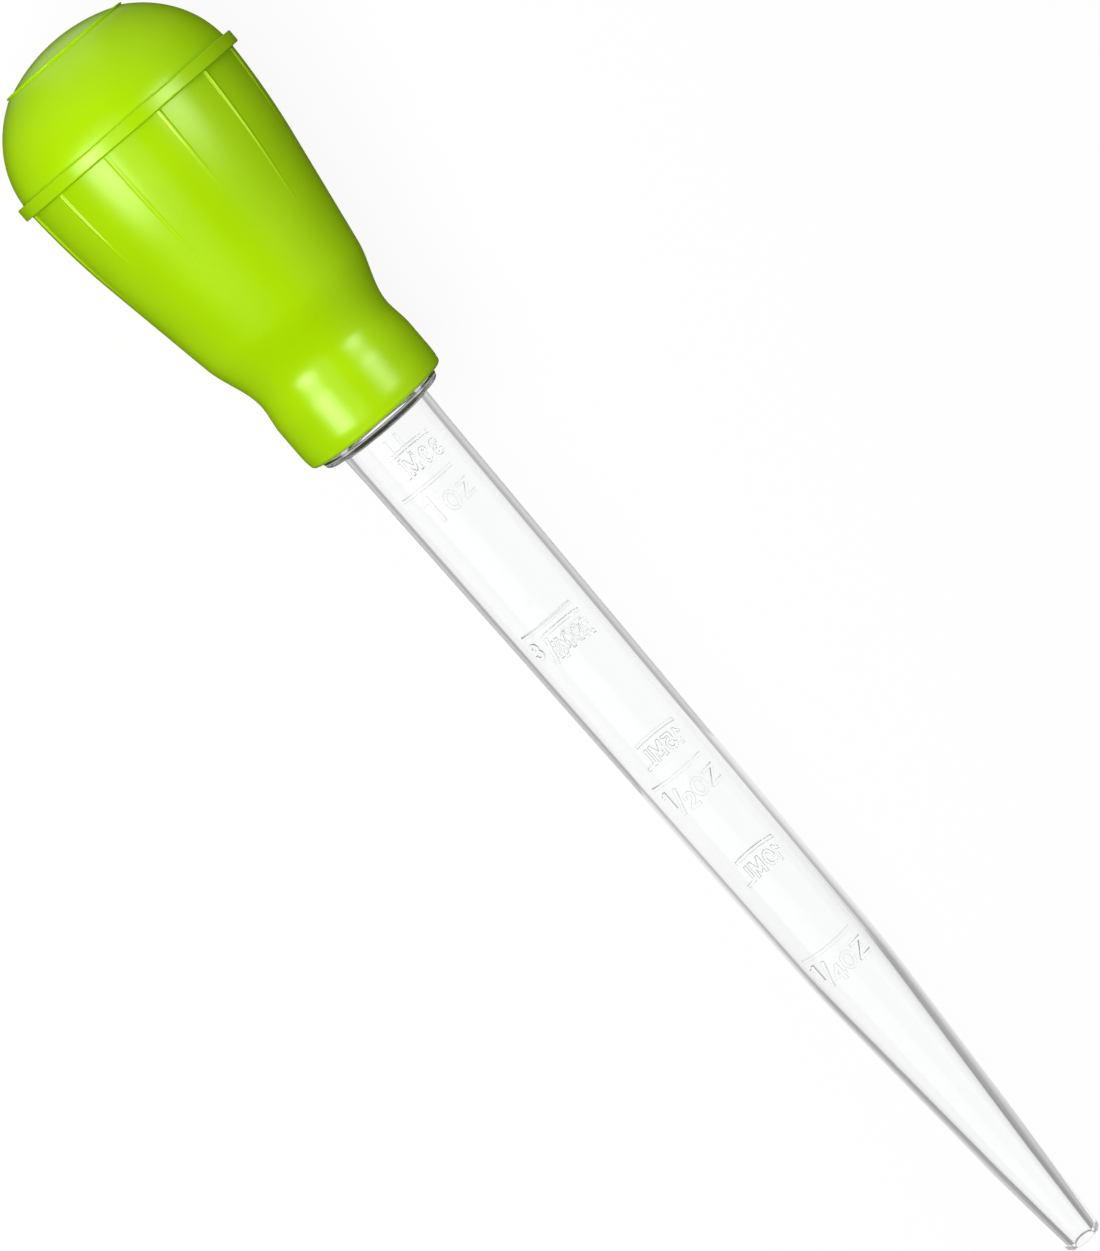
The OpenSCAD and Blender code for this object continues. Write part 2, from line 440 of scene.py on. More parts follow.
@dataclass(frozen=True)
class RestLine:
    """The pipette's own line at rest, where it leans on its soft ring and on its tip.

    It falls by its lean, in radians. Its start is the place and the height of station 0.
    """

    lean: float
    start: Pair

    @classmethod
    def through(cls, mount: dict, station: float) -> "RestLine":
        """The line of a mount that is on it.

        Args:
            mount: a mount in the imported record, whose axis runs to the tip.
            station: the mount's place on the line.

        Returns:
            The line.
        """
        x, _, z = mount["pos_m"]
        ahead, _, rise = mount["axis"]
        return cls(math.atan2(-rise, ahead), (x / MM - ahead * station, z / MM - rise * station))

    def level(self, along: Array | float, up: Array | float) -> tuple:
        """How far a step along and over the line goes along X and Z."""
        cos, sin = math.cos(self.lean), math.sin(self.lean)
        return along * cos + up * sin, up * cos - along * sin

    def way(self, along: float, up: float, side: float = 0.0) -> Vector:
        """The direction that goes this far along the line, over it and beside it."""
        x, z = self.level(along, up)
        return Vector((x, side, z))

    def point(self, along: float, up: float = 0.0, side: float = 0.0) -> Vector:
        """The place in metres that is this far along the line, over it and beside it."""
        return (Vector((self.start[0], 0.0, self.start[1])) + self.way(along, up, side)) * MM

    def turn(self, station: Array, radius: Array, angle: Array) -> Array:
        """Places round the line, none under the table.

        Args:
            station: millimetres along the line.
            radius: millimetres from it.
            angle: radians round it from the top.

        Returns:
            An array of places in metres.
        """
        x, z = self.level(station, radius * np.cos(angle))
        z = np.maximum(self.start[1] + z, 0.0)
        return np.stack([self.start[0] + x, radius * np.sin(angle), z], axis=-1) * MM

    def face(
        self, along: Array, out: Array, around: Array, angle: Array
    ) -> Array:
        """Unit normals round the line.

        Args:
            along: the normals' part along the line.
            out: their part away from it.
            around: their part round it.
            angle: radians round the line from the top.

        Returns:
            An array of unit normals.
        """
        x, z = self.level(along, out * np.cos(angle) - around * np.sin(angle))
        normals = np.stack([x, out * np.sin(angle) + around * np.cos(angle), z], axis=-1)
        return normals / np.linalg.norm(normals, axis=-1, keepdims=True)


class Profile:
    """An outline that is turned round the pipette's line, with its corners rounded."""

    ARC_STEP = 15.0
    LEAST_STEPS = 4

    def __init__(self) -> None:
        """Starts an empty outline."""
        self.corners: list[tuple[float, float, float]] = []

    def corner(self, station: float, radius: float, rounding: float = 0.0) -> "Profile":
        """Adds a corner and the radius that it is rounded to, which is 0 on a curve."""
        self.corners.append((station, radius, rounding))
        return self

    def rounded(self, rounding: float) -> "Profile":
        """Rounds the corner that was added last."""
        return self.corner(*self.corners.pop()[:2], rounding)

    def straight(self, start: Pair, end: Pair, shares: tuple[float, ...] | Array) -> "Profile":
        """Adds points on a straight span.

        Args:
            start: its first station and radius.
            end: its last station and radius.
            shares: how far along it each point is, from 0 to 1.

        Returns:
            The outline.
        """
        for share in shares:
            self.corner(*(a + (b - a) * share for a, b in zip(start, end)))
        return self

    def curve(self, start: tuple, end: tuple, steps: int) -> "Profile":
        """Adds the points of a smooth span past its start.

        Args:
            start: its first station, radius and slope.
            end: its last station, radius and slope.
            steps: how many pieces it is cut into.

        Returns:
            The outline.
        """
        length = end[0] - start[0]
        for k in range(1, steps):
            t = k / steps
            ease = t * t * (3 - 2 * t)
            slopes = (t**3 - 2 * t**2 + t) * start[2] + (t**3 - t**2) * end[2]
            self.corner(start[0] + length * t, start[1] + (end[1] - start[1]) * ease + length * slopes)
        return self.corner(*end[:2])

    def arc(self, middle: float, half: Pair, turns: Pair, steps: int, first: int = 0) -> "Profile":
        """Adds an elliptical arc about a point on the line.

        Args:
            middle: the station of its middle.
            half: its half sizes along the line and away from it.
            turns: its first and last angle from the bulb's end, in degrees.
            steps: how many pieces it is cut into.
            first: the number of the first point to add, where its start is 0.

        Returns:
            The outline.
        """
        for k in range(first, steps + 1):
            t = math.radians(turns[0] + (turns[1] - turns[0]) * k / steps)
            self.corner(middle - half[0] * math.cos(t), half[1] * math.sin(t))
        return self

    def rows(self, closed: bool) -> Array:
        """The finished outline. Complex numbers stand for its places: stations and radii.

        Args:
            closed: whether it comes back to its start.

        Returns:
            One row a point: station, radius, and the unit direction there.
        """
        spots = [complex(*corner[:2]) for corner in self.corners]
        ways = [(b - a) / abs(b - a) for a, b in zip(spots, spots[1:] + spots[:1])]
        before = ways[-1:] + ways[:-1]
        if not closed:
            before[0], ways[-1] = ways[0], ways[-2]
        rows: list[tuple[complex, complex]] = []
        for spot, into, out, corner in zip(spots, before, ways, self.corners):
            rounding = corner[2]
            if not rounding:
                rows.append((spot, (into + out) / abs(into + out)))
                continue
            turn = cmath.phase(out * into.conjugate())
            side = into * math.copysign(1.0, turn) * 1j
            centre = spot + (side - into * math.tan(abs(turn) / 2)) * rounding
            steps = max(self.LEAST_STEPS, math.ceil(abs(math.degrees(turn)) / self.ARC_STEP))
            for k in range(steps + 1):
                spin = cmath.rect(1.0, turn * k / steps)
                rows.append((centre - spin * side * rounding, spin * into))
        return np.array([(spot.real, spot.imag, way.real, way.imag) for spot, way in rows])


def make_piece(
    name: str, places: Array, normals: Array, faces: list, finishes: tuple, numbers: Array
) -> bpy.types.Object:
    """Makes a smooth piece that rides with the pipette.

    Args:
        name: the piece's name.
        places: its points in metres.
        normals: the normal at each point.
        faces: the points of each face, in order.
        finishes: its finishes.
        numbers: which of them each face has.

    Returns:
        The piece.
    """
    mesh = bpy.data.meshes.new(name)
    mesh.from_pydata(places.tolist(), [], faces)
    mesh.validate()
    mesh.polygons.foreach_set("use_smooth", np.ones(len(mesh.polygons), bool))
    mesh.normals_split_custom_set_from_vertices(normals.tolist())
    mesh.update()
    piece = bpy.data.objects.new(name, mesh)
    bpy.context.scene.collection.objects.link(piece)
    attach(piece, BODY)
    for finish in finishes:
        mesh.materials.append(finish.build())
    mesh.polygons.foreach_set("material_index", numbers.astype(np.int32))
    log.info("%s: %d faces", name, len(faces))
    return piece


# ---------- The bulb ----------


@dataclass(frozen=True)
class SqueezeBulb:
    """The soft bulb: a dome with a moulded lip, a thick ring, ribs, a waist and a neck."""

    line: RestLine
    cap_h: float = 2.5
    cap_r: float = 12.5
    cap_round: float = 0.12
    cap_steps: int = 10
    lip_t: float = 0.3
    lip_r: float = 14.1
    lip_round: float = 0.12
    lip_foot: float = 0.3
    lip_foot_round: float = 0.1
    dome_top_r: float = 13.5
    dome_top_round: float = 0.08
    dome_steps: int = 34
    ring_start: float = 19.3
    ring_w: float = 2.6
    ring_r: float = 25.85
    ring_round: float = 0.3
    ring_foot_round: float = 0.2
    belly_r: float = 24.45
    belly_slope: float = -0.04
    belly_steps: int = 18
    taper: Pair = (41.4, 22.5)
    hip: Pair = (64.4, 18.65)
    taper_steps: int = 8
    waist: Pair = (76.4, 15.4)
    waist_steps: int = 16
    neck: Pair = (82.4, 16.0)
    neck_l: float = 4.6
    neck_steps: int = 12
    mouth: float = 91.55
    mouth_r: float = 15.8
    mouth_round: float = 0.9
    mouth_lead: float = 1.1
    mouth_slope: float = -0.2
    mouth_fall: float = 0.1
    mouth_steps: int = 8
    bore_r: float = 13.73
    bore_round: float = 0.3
    ledge: float = 79.0
    ledge_round: float = 0.1
    throat_r: float = 12.9
    throat_round: float = 0.2
    throat_end_round: float = 1.0
    wall: float = 2.5
    chamber_lead: float = 1.0
    chamber_end_round: float = 6.0
    chamber_round: float = 40.0
    chamber_turn: float = 84.0
    chamber_steps: int = 18
    shade_rows: int = 6
    rib_n: int = 12
    rib_foot: float = 0.58
    rib_h: float = 0.34
    rib_long: float = 30.0
    rib_short: float = 19.5
    rib_turn: float = 14.0
    rib_reach: float = 1.2
    across_rib: int = 13
    between_ribs: int = 9

    def outline(self) -> Array:
        """The bulb's wall, from the end of the dome round its mouth and back inside.

        Returns:
            The rows of the outline.
        """
        ball = (self.cap_r**2 + self.cap_h**2) / (2 * self.cap_h)
        brim = math.degrees(math.asin(self.cap_r / ball))
        shape = Profile().arc(ball, (ball, ball), (0.0, brim), self.cap_steps).rounded(self.cap_round)
        shape.corner(self.cap_h, self.lip_r - self.lip_foot, self.lip_foot_round)
        top = self.cap_h + self.lip_t
        shape.corner(top, self.lip_r, self.lip_round).corner(top, self.dome_top_r, self.dome_top_round)
        ring_mid = self.ring_start + self.ring_w / 2
        rise = math.asin(self.dome_top_r / self.belly_r)
        dome = (ring_mid - top) / math.cos(rise)
        turns = (math.degrees(rise), math.degrees(math.acos((ring_mid - self.ring_start) / dome)))
        shape.arc(ring_mid, (dome, self.belly_r), turns, self.dome_steps, 1)
        shape.rounded(self.ring_foot_round)
        shape.corner(self.ring_start, self.ring_r, self.ring_round)
        shape.corner(self.ring_end(), self.ring_r, self.ring_round)
        shape.corner(self.ring_end(), self.belly_r, self.ring_foot_round)
        slope = (self.hip[1] - self.taper[1]) / (self.hip[0] - self.taper[0])
        belly = (self.ring_end(), self.belly_r, self.belly_slope)
        shape.curve(belly, (*self.taper, slope), self.belly_steps)
        shape.straight(self.taper, self.hip, np.linspace(0.0, 1.0, self.taper_steps + 1)[1:])
        shape.curve((*self.hip, slope), (*self.waist, 0.0), self.waist_steps)
        shape.curve((*self.waist, 0.0), (*self.neck, 0.0), self.neck_steps)
        neck_end = (self.neck[0] + self.neck_l, self.neck[1])
        lead = (self.mouth - self.mouth_lead, self.mouth_r, self.mouth_slope)
        shape.corner(*neck_end).curve((*neck_end, 0.0), lead, self.mouth_steps)
        shape.corner(self.mouth, self.mouth_r - self.mouth_fall, self.mouth_round)
        shape.corner(self.mouth, self.bore_r, self.bore_round)
        shape.corner(self.ledge, self.bore_r, self.ledge_round)
        shape.corner(self.ledge, self.throat_r, self.throat_round)
        shape.corner(self.waist[0], self.throat_r, self.throat_end_round)
        shape.corner(self.hip[0] - self.chamber_lead, self.hip[1] - self.wall, self.chamber_end_round)
        shape.corner(self.taper[0], self.taper[1] - self.wall, self.chamber_round)
        shape.corner(ring_mid, self.belly_r - self.wall)
        inner = (dome - self.wall, self.belly_r - self.wall)
        shape.arc(ring_mid, inner, (self.chamber_turn, 0.0), self.chamber_steps)
        return shape.rows(closed=False)

    def ring_end(self) -> float:
        """The station where the ring ends."""
        return self.ring_start + self.ring_w

    def angles(self) -> Array:
        """The angles of the mesh's columns, close together at each rib.

        Returns:
            Angles from the top in radians.
        """
        reach = self.rib_reach * self.rib_foot / self.belly_r
        pitch = 2 * math.pi / self.rib_n
        near = np.linspace(-reach, reach, self.across_rib)
        gap = np.linspace(reach, pitch - reach, self.between_ribs + 1)[1:-1]
        ribs = math.radians(self.rib_turn) + pitch * np.arange(self.rib_n)
        return np.add.outer(ribs, np.concatenate([near, gap])).ravel()

    def rib(self, station: Array, angle: Array) -> tuple[Array, Array]:
        """The ribs' height and its rate round the bulb.

        Args:
            station: places along the line.
            angle: angles from the top in radians.

        Returns:
            The height in millimetres, and its change for a radian.
        """
        pitch = 2 * math.pi / self.rib_n
        turn = (angle - math.radians(self.rib_turn)) / pitch
        number = np.rint(turn).astype(int)
        off = (turn - number) * pitch
        along = (station - self.ring_end()) / np.where(number % 2 == 0, self.rib_short, self.rib_long)
        height = np.where((along > 0.0) & (along < 1.0), self.rib_h * (1.0 - along), 0.0)
        foot = self.rib_foot / self.belly_r
        edge = np.clip(1.0 - np.abs(off) / foot, 0.0, 1.0)
        rate = 6 * edge * (1 - edge) / foot * -np.sign(off)
        return height * edge * edge * (3 - 2 * edge), height * rate

    def build(self) -> bpy.types.Object:
        """Makes the bulb. Its inside is rougher rubber painted a darker, greyer green as shade, where
        little light comes.

        Returns:
            The bulb.
        """
        rows = self.outline()
        wall = rows[1:-1]
        angle = self.angles()
        station, turns = np.meshgrid(wall[:, 0], angle, indexing="ij")
        ribbed = (wall[:, 0] > self.ring_end()) & (wall[:, 1] <= self.belly_r)
        ribbed &= np.arange(len(wall)) < np.argmax(wall[:, 0] >= self.waist[0])
        height, rate = (part * ribbed[:, None] for part in self.rib(station, turns))
        radius = wall[:, 1:2] + height
        out = wall[:, 2:3]
        places = self.line.turn(station, radius, turns).reshape(-1, 3)
        normals = self.line.face(-wall[:, 3:4], out, -out * rate / radius, turns).reshape(-1, 3)
        none = np.zeros(2)
        places = np.concatenate([places, self.line.turn(rows[[0, -1], 0], none, none)])
        normals = np.concatenate([normals, self.line.face(np.array([-1.0, 1.0]), none, none, none)])
        faces = self._faces(len(wall), len(angle))
        finishes = (OUTER_RUBBER, SHADED_INNER_RUBBER)
        # Rows past the mouth take the rubber with painted shade
        past_mouth = np.arange(len(wall) + 1) > np.argmax(wall[:, 0]) + self.shade_rows
        inner = np.tile(past_mouth, len(angle)) * finishes.index(SHADED_INNER_RUBBER)
        piece = make_piece("bulb_soft", places, normals, faces, finishes, inner)
        # How high each rib stands, which the rubber turns into a painted highlight
        raised = piece.data.attributes.new(RIB_HIGHLIGHT_ATTRIBUTE, "FLOAT", "POINT")
        raised.data.foreach_set("value", np.append(height.ravel() / self.rib_h, none))
        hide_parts("bulb")
        return piece

    @staticmethod
    def _faces(rows: int, columns: int) -> list[tuple[int, ...]]:
        """The faces of a turned shape that is closed at both ends by one point.

        Args:
            rows: how many rings of points it has.
            columns: how many points a ring has.

        Returns:
            The points of each face.
        """
        faces: list[tuple[int, ...]] = []
        first = rows * columns
        for j in range(columns):
            k = (j + 1) % columns
            faces.append((first, j, k))
            for a in range(0, first - columns, columns):
                b = a + columns
                faces.append((a + j, b + j, b + k, a + k))
            last = first - columns
            faces.append((last + k, last + j, first + 1))
        return faces


# ---------- The raised scales ----------


@dataclass(frozen=True)
class Stroke:
    """A line of lettering in a box that is 1 wide and 1 high, drawn from the top left."""

    points: tuple[Pair, ...]
    edge: Edge


def square(*points: Pair) -> Stroke:
    """A stroke with square ends."""
    return Stroke(points, Edge.SQUARE)


def soft(*points: Pair) -> Stroke:
    """A stroke with round ends."""
    return Stroke(points, Edge.ROUND)


def bow(middle: Pair, half: Pair, turns: Pair, steps: int) -> tuple[Pair, ...]:
    """Points on an elliptical bow.

    Args:
        middle: its middle in the letter's box.
        half: its half sizes across and down.
        turns: its first and last angle in degrees, from the right and downwards.
        steps: how many pieces it is cut into.

    Returns:
        The points.
    """
    angles = [math.radians(turns[0] + (turns[1] - turns[0]) * k / steps) for k in range(steps + 1)]
    return tuple((middle[0] + half[0] * math.cos(t), middle[1] + half[1] * math.sin(t)) for t in angles)


RING = soft(*bow((0.5, 0.5), (0.5, 0.5), (0, 360), 32))
TOP = square((0, 0), (1, 0))
FOOT = square((0, 1), (1, 1))
LEFT = square((0, 0), (0, 1))
RIGHT = square((1, 0), (1, 1))
LETTERS: dict[str, tuple[Stroke, ...]] = {
    "0": (RING,),
    "O": (RING,),
    "1": (RIGHT, soft((0.92, 0.02), (0.55, 0.15), (0, 0.19))),
    "2": (soft(*bow((0.5, 0.29), (0.48, 0.29), (185, 385), 16), (0.86, 0.52), (0.05, 0.97)), FOOT),
    "3": (
        soft(*bow((0.46, 0.24), (0.46, 0.24), (200, 430), 14)),
        soft(*bow((0.48, 0.73), (0.5, 0.27), (-85, 165), 16)),
    ),
    "4": (
        square((0.74, 0), (0.74, 1)),
        soft((0.7, 0.02), (0, 0.68)),
        square((0, 0.68), (1, 0.68)),
    ),
    "5": (
        square((0.95, 0), (0.2, 0)),
        soft((0.2, 0), (0.08, 0.5)),
        soft(*bow((0.46, 0.67), (0.5, 0.33), (-140, 160), 18)),
    ),
    "/": (square((1, 0), (0, 1)),),
    "Z": (TOP, soft((1, 0.02), (0, 0.98)), FOOT),
    "M": (LEFT, soft((0, 0), (0.5, 0.85), (1, 0)), RIGHT),
    "L": (LEFT, FOOT),
    "|": (square((0.5, 0), (0.5, 1)),),
}


@dataclass(frozen=True)
class Mark:
    """One graduation: a bar round part of the barrel, and its reading under it.

    Its place is a distance below the shoulder. Each letter spans a width round the barrel from
    the scale's middle, and drops from its top to its foot below the bar.
    """

    below: float
    side: Side
    bar: float
    text: str
    spans: tuple[Pair, ...]
    drops: tuple[Pair, ...]

    def foot(self) -> float:
        """How far its longest letter reaches below the bar."""
        return max(drop[1] for drop in self.drops)

    def lines(self, width: float) -> list[tuple[float, float, float, float, bool]]:
        """The middle lines of every stroke, round the barrel and down from the bar.

        Args:
            width: the width of a stroke half way up its flanks.

        Returns:
            Both ends of each line, and whether its ends are square.
        """
        half = width / 2
        lines = []
        if self.bar:
            lines.append((half - self.bar / 2, 0.0, self.bar / 2 - half, 0.0, True))
        for letter, span, drop in zip(self.text, self.spans, self.drops):
            left, top = span[0] + half, drop[0] + half
            wide, tall = span[1] - half - left, drop[1] - half - top
            for stroke in LETTERS[letter]:
                spots = [(left + wide * x, top + tall * y) for x, y in stroke.points]
                cut = stroke.edge is Edge.SQUARE
                lines += [(*a, *b, cut) for a, b in zip(spots, spots[1:])]
        return lines


# Each scale's side, and how long its bars are
OZ_SCALE = (Side.FRONT, 12.3)
ML_SCALE = (Side.BACK, 11.4)
ML_SPANS = ((-5.3, -3.0), (-2.55, -0.25), (0.7, 3.6), (4.15, 7.05))
MARKS = (
    Mark(
        13.1,
        *OZ_SCALE,
        "1OZ",
        ((-3.7, -1.45), (0.3, 3.3), (4.05, 6.7)),
        ((1.5, 7.55), (3.15, 7.3), (3.4, 7.0)),
    ),
    Mark(
        47.5,
        *OZ_SCALE,
        "3/4OZ",
        ((-6.5, -4.3), (-3.6, -1.75), (-2.55, 0.0), (0.2, 2.9), (3.05, 5.7)),
        ((1.65, 5.45), (2.2, 7.75), (3.85, 7.85), (3.05, 6.7), (3.3, 6.95)),
    ),
    Mark(
        85.9,
        *OZ_SCALE,
        "1/2OZ",
        ((-5.95, -4.3), (-4.2, -2.05), (-2.25, 0.1), (0.3, 3.35), (3.8, 6.7)),
        ((1.45, 5.5), (1.8, 7.4), (3.75, 7.45), (2.55, 6.6), (2.7, 6.6)),
    ),
    Mark(
        130.6,
        *OZ_SCALE,
        "1/4OZ",
        ((-6.2, -4.5), (-4.4, -2.2), (-2.6, 0.05), (0.25, 3.2), (3.6, 6.7)),
        ((1.4, 5.2), (1.65, 7.25), (3.45, 7.4), (2.55, 6.55), (2.5, 6.5)),
    ),
    Mark(7.0, *ML_SCALE, "30ML", ((-5.85, -3.4), *ML_SPANS[1:]), ((1.7, 5.35),) * 4),
    Mark(52.0, *ML_SCALE, "20ML", ML_SPANS, ((1.7, 5.55),) * 4),
    Mark(80.1, *ML_SCALE, "15ML", ((-5.1, -3.35), (-2.65, 0.1), *ML_SPANS[2:]), ((1.5, 5.25),) * 4),
    Mark(110.3, *ML_SCALE, "10ML", ((-5.0, -3.2), (-2.75, 0.05), *ML_SPANS[2:]), ((1.5, 5.2),) * 4),
    Mark(0.0, Side.FRONT, 0.0, "||", ((-1.55, -0.6), (1.05, 2.0)), ((1.9, 6.3),) * 2),
)


# ---------- The tube ----------


@dataclass(frozen=True)
class GraduatedTube:
    """The clear tube: a collar inside the bulb's neck, a tapered barrel and a fine nose."""

    line: RestLine
    collar_top: float = 79.0
    collar_r: float = 13.7
    collar_l: float = 6.0
    collar_top_round: float = 0.15
    collar_round: float = 0.3
    lead_in: float = 0.6
    cup_r: float = 12.1
    cup_round: float = 0.2
    cup_floor: float = 91.0
    cup_floor_round: float = 0.5
    shoulder: float = 93.5
    shoulder_round: float = 1.3
    rim_start: float = 91.3
    rim_least: float = 0.5
    root_round: float = 0.6
    root_l: float = 1.4
    barrel_top_r: float = 10.15
    nose: float = 233.0
    nose_blend: float = 6.0
    nose_shares: tuple[float, ...] = (0.2, 0.4, 0.6, 0.8, 0.95)
    barrel_end_r: float = 8.5
    tip: float = 304.4
    tip_r: float = 4.0
    tip_round: float = 0.8
    tip_bore_round: float = 0.25
    bore_top_r: float = 8.6
    bore_top_round: float = 0.3
    bore_end_r: float = 6.95
    bore_shares: tuple[float, ...] = (0.9, 0.7, 0.5, 0.3)
    bore_top_shares: tuple[float, ...] = (0.1, 0.03)
    bore_shift: float = 0.22
    bore_shift_fade: Pair = (4.0, 20.0)
    outlet_r: float = 2.2
    outlet: float = 303.6
    outlet_round: float = 0.5
    stroke: float = 0.68
    stroke_h: float = 0.25
    flank: float = 0.2
    flank_steep: float = 0.22
    mark_reach: float = 8.0
    mark_over: float = 1.5
    mark_under: float = 1.0
    slope_step: float = 0.004
    columns: int = 128
    row: float = 0.47
    plain_rows: int = 3
    tip_rows: int = 2
    margin: float = 1.0
    fine: int = 5
    probes: int = 4

    def outline(self) -> Array:
        """The tube's wall, from the lip of its cup over the outside and back up the bore.

        Returns:
            The rows of the outline.
        """
        shape = Profile()
        shape.corner(self.collar_top, self.cup_r, self.cup_round)
        shape.corner(self.collar_top, self.collar_r - self.lead_in, self.collar_top_round)
        shape.corner(self.collar_top + self.lead_in, self.collar_r, self.collar_round)
        shape.corner(self.collar_top + self.collar_l, self.collar_r)
        shape.corner(self.shoulder, self.collar_r, self.shoulder_round)
        shape.corner(self.shoulder, self.barrel_r(0.0), self.root_round)
        for station in self.barrel_stations():
            shape.corner(station, self.outer_r(station))
        shape.straight((self.nose, self.barrel_end_r), (self.tip, self.tip_r), self.nose_shares)
        shape.corner(self.tip, self.tip_r, self.tip_round)
        shape.corner(self.tip, self.outlet_r, self.tip_bore_round)
        top, end = (self.shoulder, self.bore_top_r), (self.nose, self.bore_end_r)
        outlet = (self.outlet, self.outlet_r)
        bend = math.atan((top[1] - end[1]) / (top[0] - end[0]))
        bend -= math.atan((end[1] - outlet[1]) / (end[0] - outlet[0]))
        shape.corner(*outlet, self.outlet_round).straight(end, outlet, self.bore_shares)
        shape.corner(*end, self.nose_blend / math.tan(abs(bend) / 2))
        shape.straight(top, end, self.bore_shares + self.bore_top_shares)
        shape.corner(self.cup_floor, self.bore_top_r, self.bore_top_round)
        shape.corner(self.cup_floor, self.cup_r, self.cup_floor_round)
        shape.corner(self.collar_top + self.collar_l, self.cup_r)
        return shape.rows(closed=True)

    def barrel_slope(self) -> float:
        """How the barrel's radius changes along it."""
        return (self.barrel_end_r - self.barrel_top_r) / (self.nose - self.shoulder)

    def barrel_r(self, below: float) -> float:
        """The barrel's radius at a distance below the shoulder."""
        return self.barrel_top_r + self.barrel_slope() * below

    def outer_r(self, station: float) -> float:
        """The outer radius along the barrel and the nose, with a smooth blend between them.

        Args:
            station: a place along the line.

        Returns:
            The radius there.
        """
        past = station - self.nose
        blend = max(0.0, min(past + self.nose_blend, 2 * self.nose_blend))
        bend = (self.tip_r - self.barrel_end_r) / (self.tip - self.nose) - self.barrel_slope()
        fall = blend**2 / (4 * self.nose_blend) + max(0.0, past - self.nose_blend)
        return self.barrel_end_r + self.barrel_slope() * past + bend * fall

    def barrel_stations(self) -> list[float]:
        """Stations along the barrel, close together beside the marks.

        Returns:
            The stations in order.
        """
        tops = [self.shoulder + mark.below for mark in MARKS]
        reach = [(a - self.margin, a + mark.foot() + self.margin) for a, mark in zip(tops, MARKS)]
        stations = [self.shoulder + self.root_l]
        while stations[-1] < self.nose + self.nose_blend + self.margin:
            close = any(low <= stations[-1] <= high for low, high in reach)
            stations.append(stations[-1] + self.row * (1 if close else self.plain_rows))
        return stations

    def relief(self, station: Array, angle: Array) -> Array:
        """How high the marks stand.

        Args:
            station: places along the line.
            angle: angles from the top in radians.

        Returns:
            The height at each place in millimetres.
        """
        height = np.zeros_like(station)
        for mark in MARKS:
            across = (angle - math.radians(mark.side.value) + math.pi) % (2 * math.pi) - math.pi
            across = across * self.barrel_r(mark.below)
            down = station - self.shoulder - mark.below
            near = (down > -self.mark_over) & (down < mark.foot() + self.mark_under)
            near &= np.abs(across) < self.mark_reach
            if near.any():
                away = self._distance(across[near], down[near], mark.lines(self.stroke))
                edge = np.clip((self.stroke / 2 + self.flank / 2 - away) / self.flank, 0.0, 1.0)
                rise = self.stroke_h * edge * edge * (3 - 2 * edge)
                height[near] = np.maximum(height[near], rise)
        return height

    @staticmethod
    def _distance(across: Array, down: Array, lines: list) -> Array:
        """How far each place is from the nearest stroke's middle line.

        Args:
            across: places round the barrel.
            down: places along it.
            lines: the middle lines.

        Returns:
            The distances in millimetres.
        """
        nearest = np.full(across.shape, np.inf)
        for x0, y0, x1, y1, cut in lines:
            length = math.hypot(x1 - x0, y1 - y0)
            ux, uy = (x1 - x0) / length, (y1 - y0) / length
            along = (across - x0) * ux + (down - y0) * uy
            off = (down - y0) * ux - (across - x0) * uy
            past = np.maximum(np.abs(along - length / 2) - length / 2, 0.0)
            away = np.maximum(np.abs(off), past) if cut else np.hypot(off, past)
            nearest = np.minimum(nearest, away)
        return nearest

    def build(self) -> bpy.types.Object:
        """Makes the tube. The marks' matt flanks are tinted grey and the shoulder's thick round edge
        darker, as painted shade.

        Returns:
            The tube.
        """
        rows = self.outline()
        stations = np.array(self.barrel_stations())
        first = int(np.argmax(rows[:, 0] >= stations[0]))
        last = first + len(stations) - 1
        fine = np.zeros((len(rows), self.columns), bool)
        fine[first:last] = self._busy(stations)
        corners, faces = Lattice(len(rows), self.columns, self.fine).faces(fine)
        share = corners / self.fine
        row = np.floor(share[:, 0]).astype(int)
        part = share[:, :1] - row[:, None]
        mixed = rows[row % len(rows)] * (1 - part) + rows[(row + 1) % len(rows)] * part
        station, radius, out, fall = mixed.T
        angle = share[:, 1] * 2 * math.pi / self.columns
        marked = (row >= first) & (row <= last)
        height = self.relief(station, angle) * marked
        radius = radius + height
        along = self._slope(station, angle, self.slope_step, 0.0) * marked
        around = self._slope(station, angle, 0.0, self.slope_step / radius) * marked
        places = self.line.turn(station, radius, angle)
        into, until = self.bore_shift_fade
        fade = np.clip((self.outlet - station) / until, 0.0, 1.0)
        fade = fade * np.clip((station - self.cup_floor) / into, 0.0, 1.0)
        places[:, 1] -= self.bore_shift * MM * fade * (row > np.argmax(rows[:, 0]) + self.tip_rows)
        normals = self.line.face(-fall - out * along, out, -out * around, angle)
        # The shoulder's thick round edge, which takes the darker tint of painted shade
        rim = (row < first) & (station > self.rim_start)
        rim &= radius > self.barrel_top_r + self.rim_least
        loops = np.concatenate(faces)
        starts = np.cumsum([0] + [len(face) for face in faces[:-1]])
        rise = np.maximum.reduceat(height[loops], starts) - np.minimum.reduceat(height[loops], starts)
        finishes = (CLEAR, FLANK, SHADED_RIM)
        # Faces on a mark's steep flank take the matt finish with its grey tint of painted shade
        flank = (rise > self.flank_steep * self.stroke_h) * finishes.index(FLANK)
        numbers = np.where(np.minimum.reduceat(rim[loops], starts), finishes.index(SHADED_RIM), flank)
        piece = make_piece("tube_clear", places, normals, faces, finishes, numbers)
        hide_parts("tube")
        return piece

    def _slope(
        self, station: Array, angle: Array, down: float, turn: Array | float
    ) -> Array:
        """How fast the marks rise over a small step down the barrel or round it."""
        rise = self.relief(station + down, angle + turn) - self.relief(station - down, angle - turn)
        return rise / (2 * self.slope_step)

